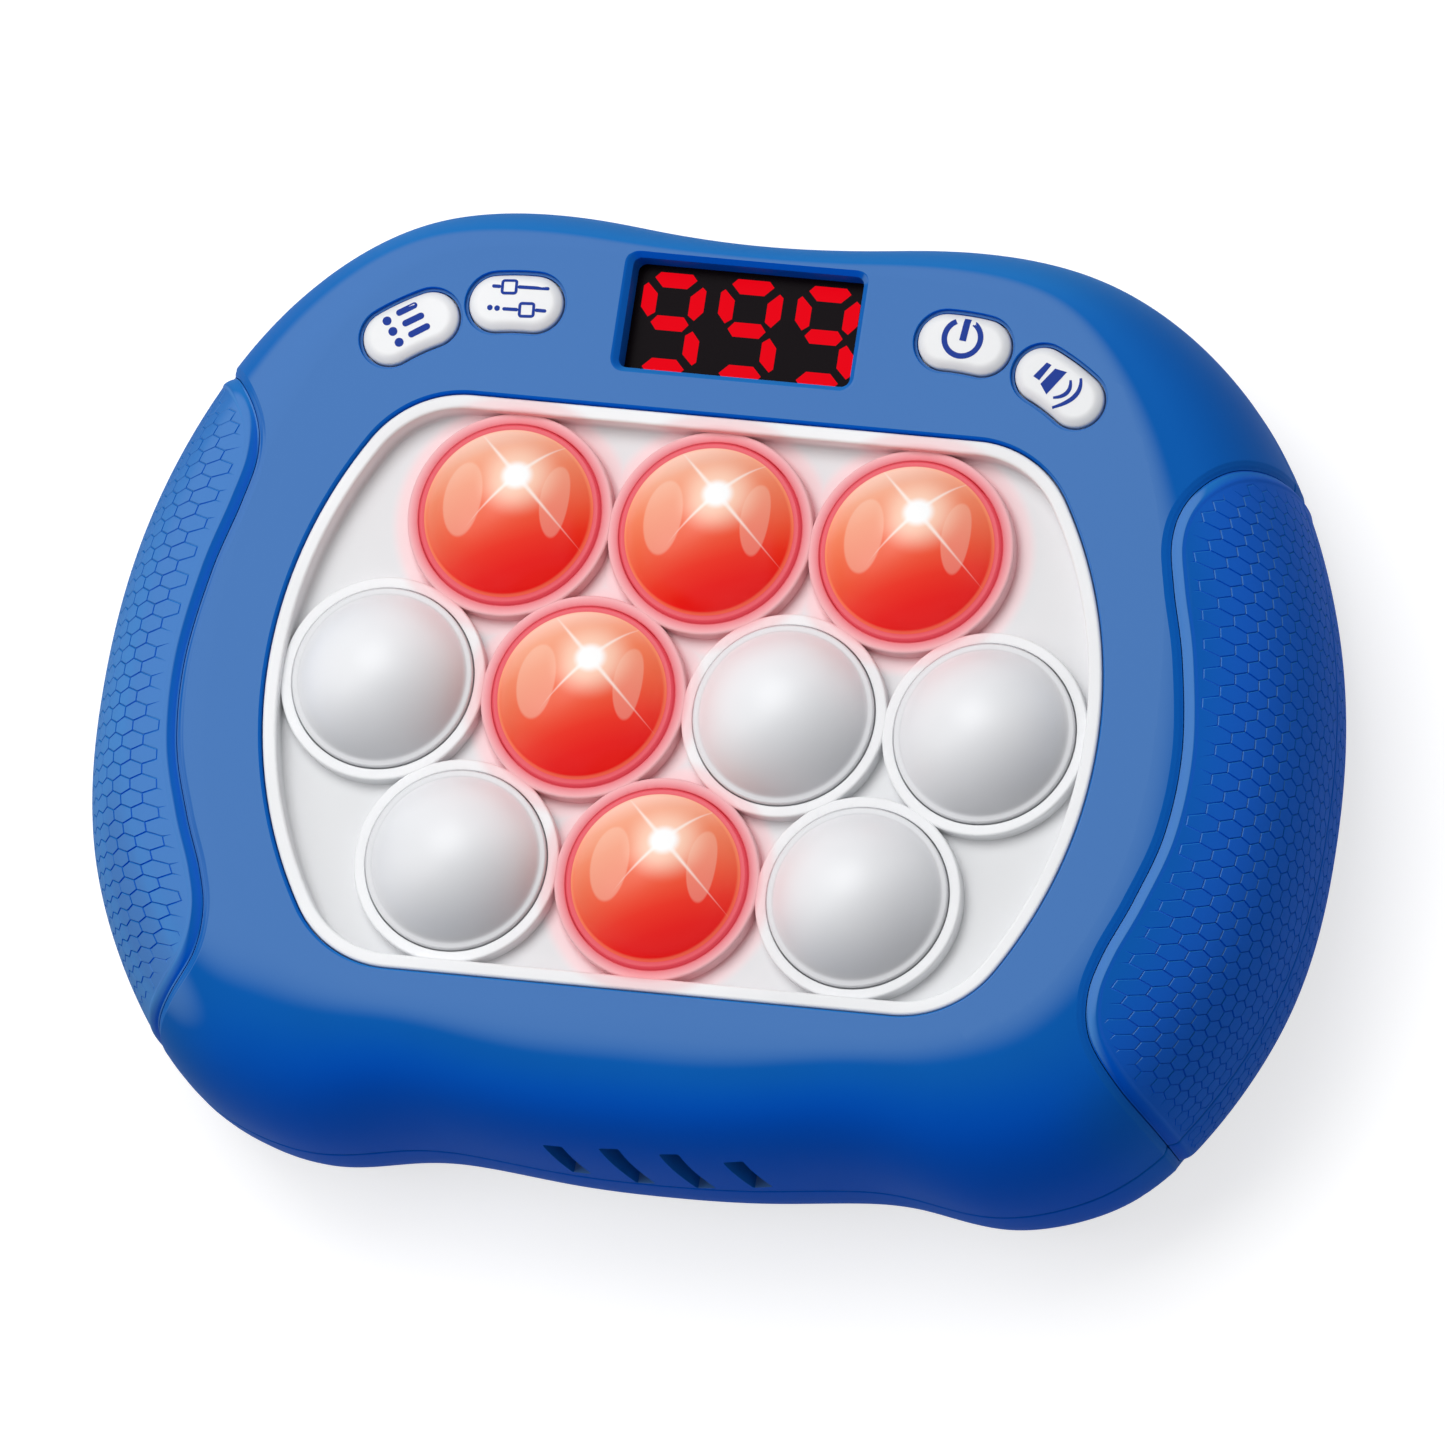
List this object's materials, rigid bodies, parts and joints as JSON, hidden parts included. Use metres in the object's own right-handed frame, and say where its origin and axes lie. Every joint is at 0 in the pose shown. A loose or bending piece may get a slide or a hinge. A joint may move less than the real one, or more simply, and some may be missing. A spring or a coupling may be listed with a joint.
{
  "type": "electronic bubble pop game",
  "caption": "Hand-held electronic bubble pop game: blue two-part case with textured side grips, white tray of push bubbles, three-digit display and four function buttons.",
  "frame": {"origin": "middle of the flat back, on the surface it rests on", "axes": "+X to the player's right, +Y towards the display edge, +Z out of the face"},
  "size_m": [0.1758, 0.1352, 0.0521],
  "materials": {
    "case_blue": "satin moulded ABS",
    "grip_blue": "soft-touch skin with an engraved hexagon net",
    "tray_white": "satin moulded ABS",
    "bubble_white": "translucent silicone, smooth",
    "bubble_red": "translucent silicone lit red from below",
    "button_white": "glossy moulded ABS",
    "boot_grey": "moulded silicone",
    "window_black": "smoked acrylic",
    "module_black": "matt housing",
    "board_green": "solder mask",
    "speaker_black": "matt",
    "contact_plated": "nickel plated",
    "screw_steel": "zinc plated",
    "cell_sleeve": "plain printed sleeve without words",
    "lead_red": "insulated wire",
    "lead_black": "insulated wire"
  },
  "bodies": {
    "root": {"front_shell": "case_blue", "rear_shell": "case_blue", "left_grip_front": "grip_blue", "left_grip_rear": "grip_blue", "right_grip_front": "grip_blue", "right_grip_rear": "grip_blue", "face_panel": "tray_white", "bubble_boot_1": "boot_grey", "bubble_boot_2": "boot_grey", "bubble_boot_3": "boot_grey", "bubble_boot_4": "boot_grey", "bubble_boot_5": "boot_grey", "bubble_boot_6": "boot_grey", "bubble_boot_7": "boot_grey", "bubble_boot_8": "boot_grey", "bubble_boot_9": "boot_grey", "bubble_boot_10": "boot_grey", "menu_boot": "boot_grey", "settings_boot": "boot_grey", "power_boot": "boot_grey", "volume_boot": "boot_grey", "display_window": "window_black", "display_module": "module_black", "main_board": "board_green", "speaker": "speaker_black", "battery_1": "cell_sleeve", "battery_2": "cell_sleeve", "battery_3": "cell_sleeve", "battery_contact_negative": "contact_plated", "battery_contact_positive": "contact_plated", "battery_jumper_1": "contact_plated", "battery_jumper_2": "contact_plated", "battery_lead_negative": "lead_black", "battery_lead_positive": "lead_red", "speaker_lead": "lead_black", "case_screw_1": "screw_steel", "case_screw_2": "screw_steel", "case_screw_3": "screw_steel", "case_screw_4": "screw_steel", "case_screw_5": "screw_steel", "case_screw_6": "screw_steel", "board_screw_1": "screw_steel", "board_screw_2": "screw_steel"},
    "bubble_1": {"bubble_1": "bubble_red"},
    "bubble_2": {"bubble_2": "bubble_red"},
    "bubble_3": {"bubble_3": "bubble_red"},
    "bubble_4": {"bubble_4": "bubble_white"},
    "bubble_5": {"bubble_5": "bubble_red"},
    "bubble_6": {"bubble_6": "bubble_white"},
    "bubble_7": {"bubble_7": "bubble_white"},
    "bubble_8": {"bubble_8": "bubble_white"},
    "bubble_9": {"bubble_9": "bubble_red"},
    "bubble_10": {"bubble_10": "bubble_white"},
    "menu_button": {"menu_button": "button_white"},
    "settings_button": {"settings_button": "button_white"},
    "power_button": {"power_button": "button_white"},
    "volume_button": {"volume_button": "button_white"},
    "battery_cover": {"battery_cover": "case_blue", "battery_cover_screw": "screw_steel"}
  },
  "joints": [
    {"name": "bubble_1_press", "type": "slide", "parent": "root", "child": "bubble_1", "axis": [0, 0, -1], "range_m": [0, 0.003], "stiffness_N_per_m": 300, "deforming": ["bubble_boot_1"]},
    {"name": "bubble_2_press", "type": "slide", "parent": "root", "child": "bubble_2", "axis": [0, 0, -1], "range_m": [0, 0.003], "stiffness_N_per_m": 300, "deforming": ["bubble_boot_2"]},
    {"name": "bubble_3_press", "type": "slide", "parent": "root", "child": "bubble_3", "axis": [0, 0, -1], "range_m": [0, 0.003], "stiffness_N_per_m": 300, "deforming": ["bubble_boot_3"]},
    {"name": "bubble_4_press", "type": "slide", "parent": "root", "child": "bubble_4", "axis": [0, 0, -1], "range_m": [0, 0.003], "stiffness_N_per_m": 300, "deforming": ["bubble_boot_4"]},
    {"name": "bubble_5_press", "type": "slide", "parent": "root", "child": "bubble_5", "axis": [0, 0, -1], "range_m": [0, 0.003], "stiffness_N_per_m": 300, "deforming": ["bubble_boot_5"]},
    {"name": "bubble_6_press", "type": "slide", "parent": "root", "child": "bubble_6", "axis": [0, 0, -1], "range_m": [0, 0.003], "stiffness_N_per_m": 300, "deforming": ["bubble_boot_6"]},
    {"name": "bubble_7_press", "type": "slide", "parent": "root", "child": "bubble_7", "axis": [0, 0, -1], "range_m": [0, 0.003], "stiffness_N_per_m": 300, "deforming": ["bubble_boot_7"]},
    {"name": "bubble_8_press", "type": "slide", "parent": "root", "child": "bubble_8", "axis": [0, 0, -1], "range_m": [0, 0.003], "stiffness_N_per_m": 300, "deforming": ["bubble_boot_8"]},
    {"name": "bubble_9_press", "type": "slide", "parent": "root", "child": "bubble_9", "axis": [0, 0, -1], "range_m": [0, 0.003], "stiffness_N_per_m": 300, "deforming": ["bubble_boot_9"]},
    {"name": "bubble_10_press", "type": "slide", "parent": "root", "child": "bubble_10", "axis": [0, 0, -1], "range_m": [0, 0.003], "stiffness_N_per_m": 300, "deforming": ["bubble_boot_10"]},
    {"name": "menu_button_press", "type": "slide", "parent": "root", "child": "menu_button", "axis": [0, 0, -1], "range_m": [0, 0.001], "stiffness_N_per_m": 500, "deforming": ["menu_boot"]},
    {"name": "settings_button_press", "type": "slide", "parent": "root", "child": "settings_button", "axis": [0, 0, -1], "range_m": [0, 0.001], "stiffness_N_per_m": 500, "deforming": ["settings_boot"]},
    {"name": "power_button_press", "type": "slide", "parent": "root", "child": "power_button", "axis": [0, 0, -1], "range_m": [0, 0.001], "stiffness_N_per_m": 500, "deforming": ["power_boot"]},
    {"name": "volume_button_press", "type": "slide", "parent": "root", "child": "volume_button", "axis": [0, 0, -1], "range_m": [0, 0.001], "stiffness_N_per_m": 500, "deforming": ["volume_boot"]},
    {"name": "battery_cover_tilt", "type": "hinge", "parent": "root", "child": "battery_cover", "pos_m": [0, 0.0205, 0], "axis": [1, 0, 0], "range_deg": [0, 70]}
  ]
}
